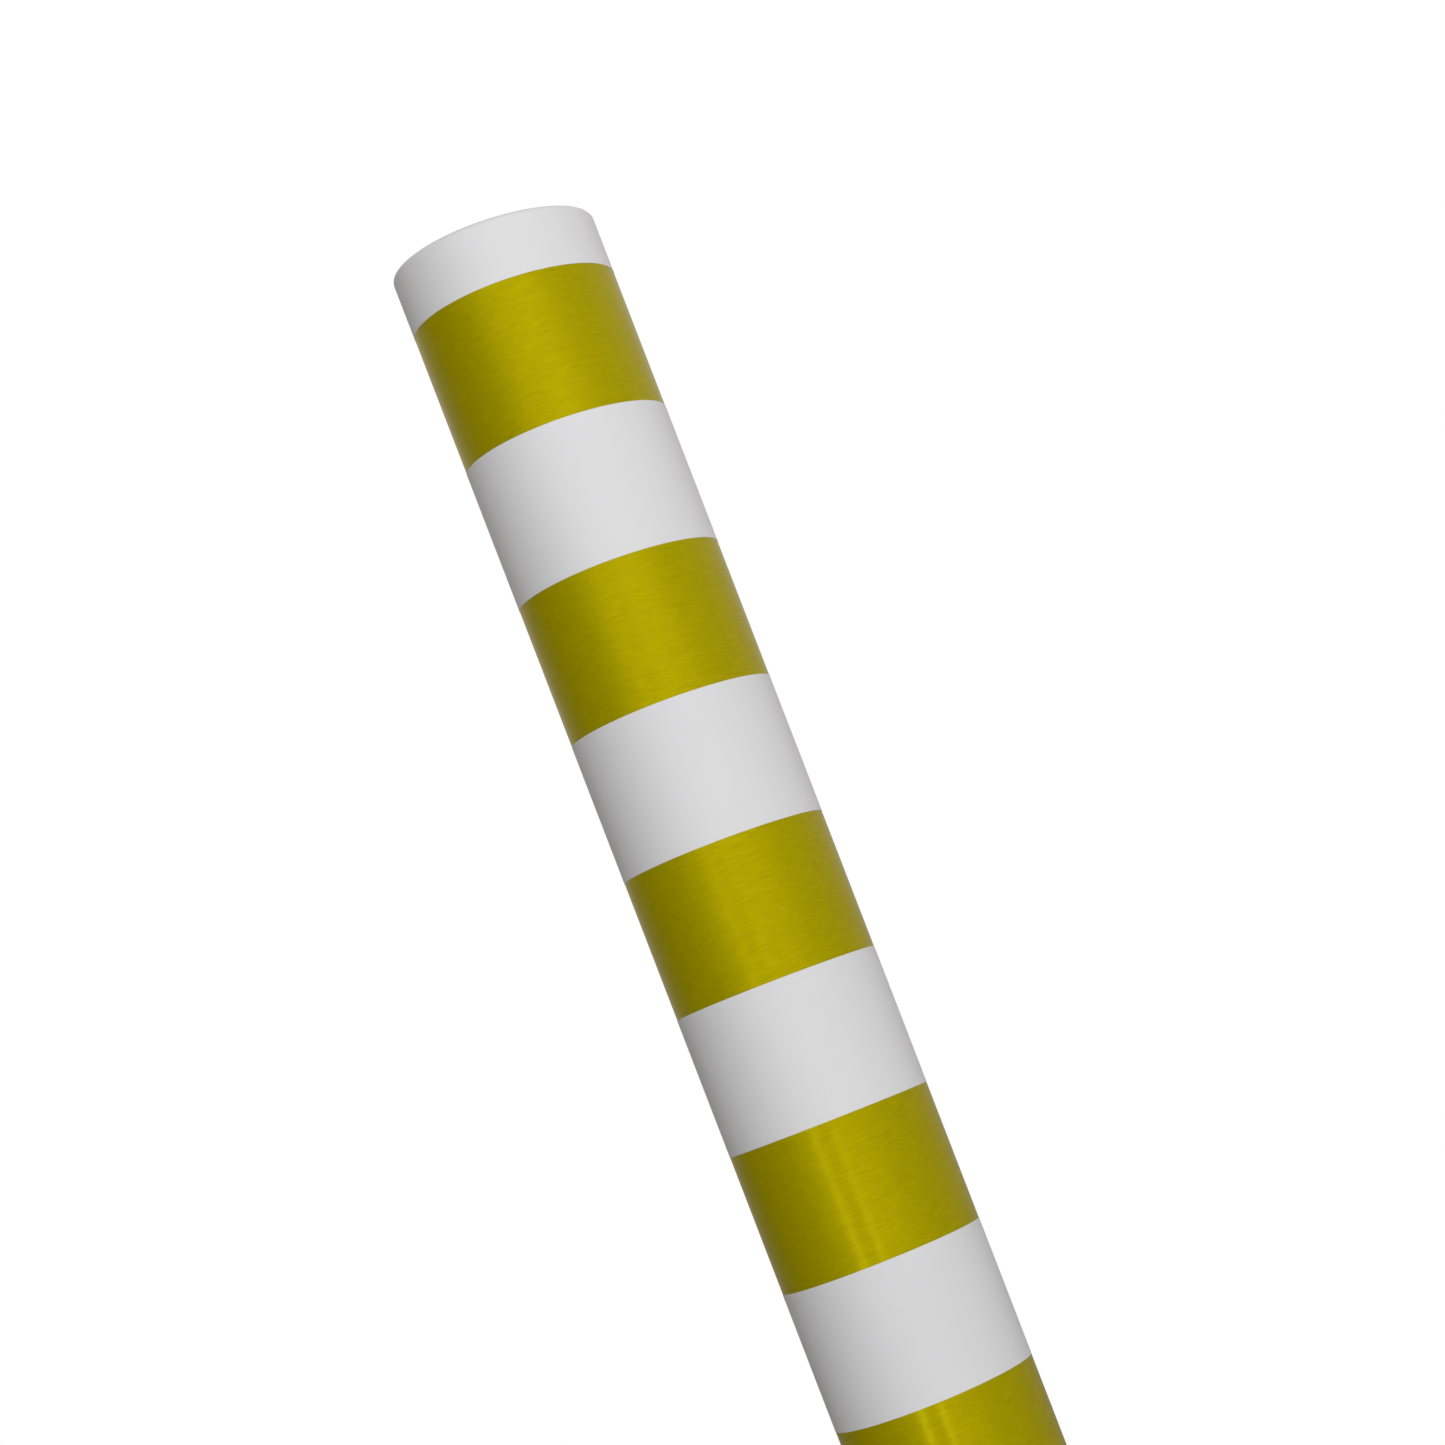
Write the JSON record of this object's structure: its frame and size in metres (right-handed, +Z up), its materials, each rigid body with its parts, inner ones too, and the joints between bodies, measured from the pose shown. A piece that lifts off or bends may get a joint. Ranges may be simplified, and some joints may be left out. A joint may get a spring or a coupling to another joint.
{
  "type": "golf flagstick",
  "caption": "Straight round golf flagstick in equal yellow and white bands, with a screw-on ferrule at its foot and a flag screw in its top end.",
  "frame": {"origin": "the lowest point of the ferrule, on the pole's axis", "axes": "+Z up the pole's axis, from the ferrule to the flag end; X and Y square to it, with the ferrule's spanner flats facing +X and -X"},
  "size_m": [0.022, 0.0254, 2.1357],
  "materials": {
    "yellow_tube": "brushed round the tube, then finished in clear yellow",
    "white_coat": "matt white coat",
    "insert_brass": "turned brass",
    "washer_nylon": "natural nylon",
    "screw_steel": "turned stainless steel",
    "rivet_aluminium": "plain aluminium",
    "cushion_rubber": "black rubber",
    "ferrule_aluminium": "turned and satin",
    "sleeve_nylon": "black nylon"
  },
  "bodies": {
    "pole": {"shaft_tube": "yellow_tube", "white_bands": "white_coat", "top_insert": "insert_brass", "ferrule_socket": "insert_brass", "socket_rivets": "rivet_aluminium"},
    "washer": {"flag_washer": "washer_nylon"},
    "screw": {"flag_screw": "screw_steel"},
    "cushion": {"cushion_washer": "cushion_rubber"},
    "foot": {"ferrule": "ferrule_aluminium", "ferrule_stud": "screw_steel", "stud_pin": "screw_steel", "wear_sleeve": "sleeve_nylon"}
  },
  "joints": [
    {"name": "flag_screw_lift", "type": "slide", "parent": "pole", "child": "washer", "axis": [0, 0, 1], "range_m": [0, 0.012]},
    {"name": "flag_screw_turn", "type": "hinge", "parent": "washer", "child": "screw", "pos_m": [0, 0, 2.134], "axis": [0, 0, 1], "range_deg": [0, 4320]},
    {"name": "ferrule_drop", "type": "slide", "parent": "pole", "child": "cushion", "axis": [0, 0, -1], "range_m": [0, 0.027]},
    {"name": "ferrule_turn", "type": "hinge", "parent": "cushion", "child": "foot", "pos_m": [0, 0, 0.072], "axis": [0, 0, -1], "range_deg": [0, 6480]}
  ],
  "couplings": [
    {"joint": "flag_screw_turn", "follows": "flag_screw_lift", "rad_per_m": 6283.2},
    {"joint": "ferrule_turn", "follows": "ferrule_drop", "rad_per_m": 4188.8}
  ]
}
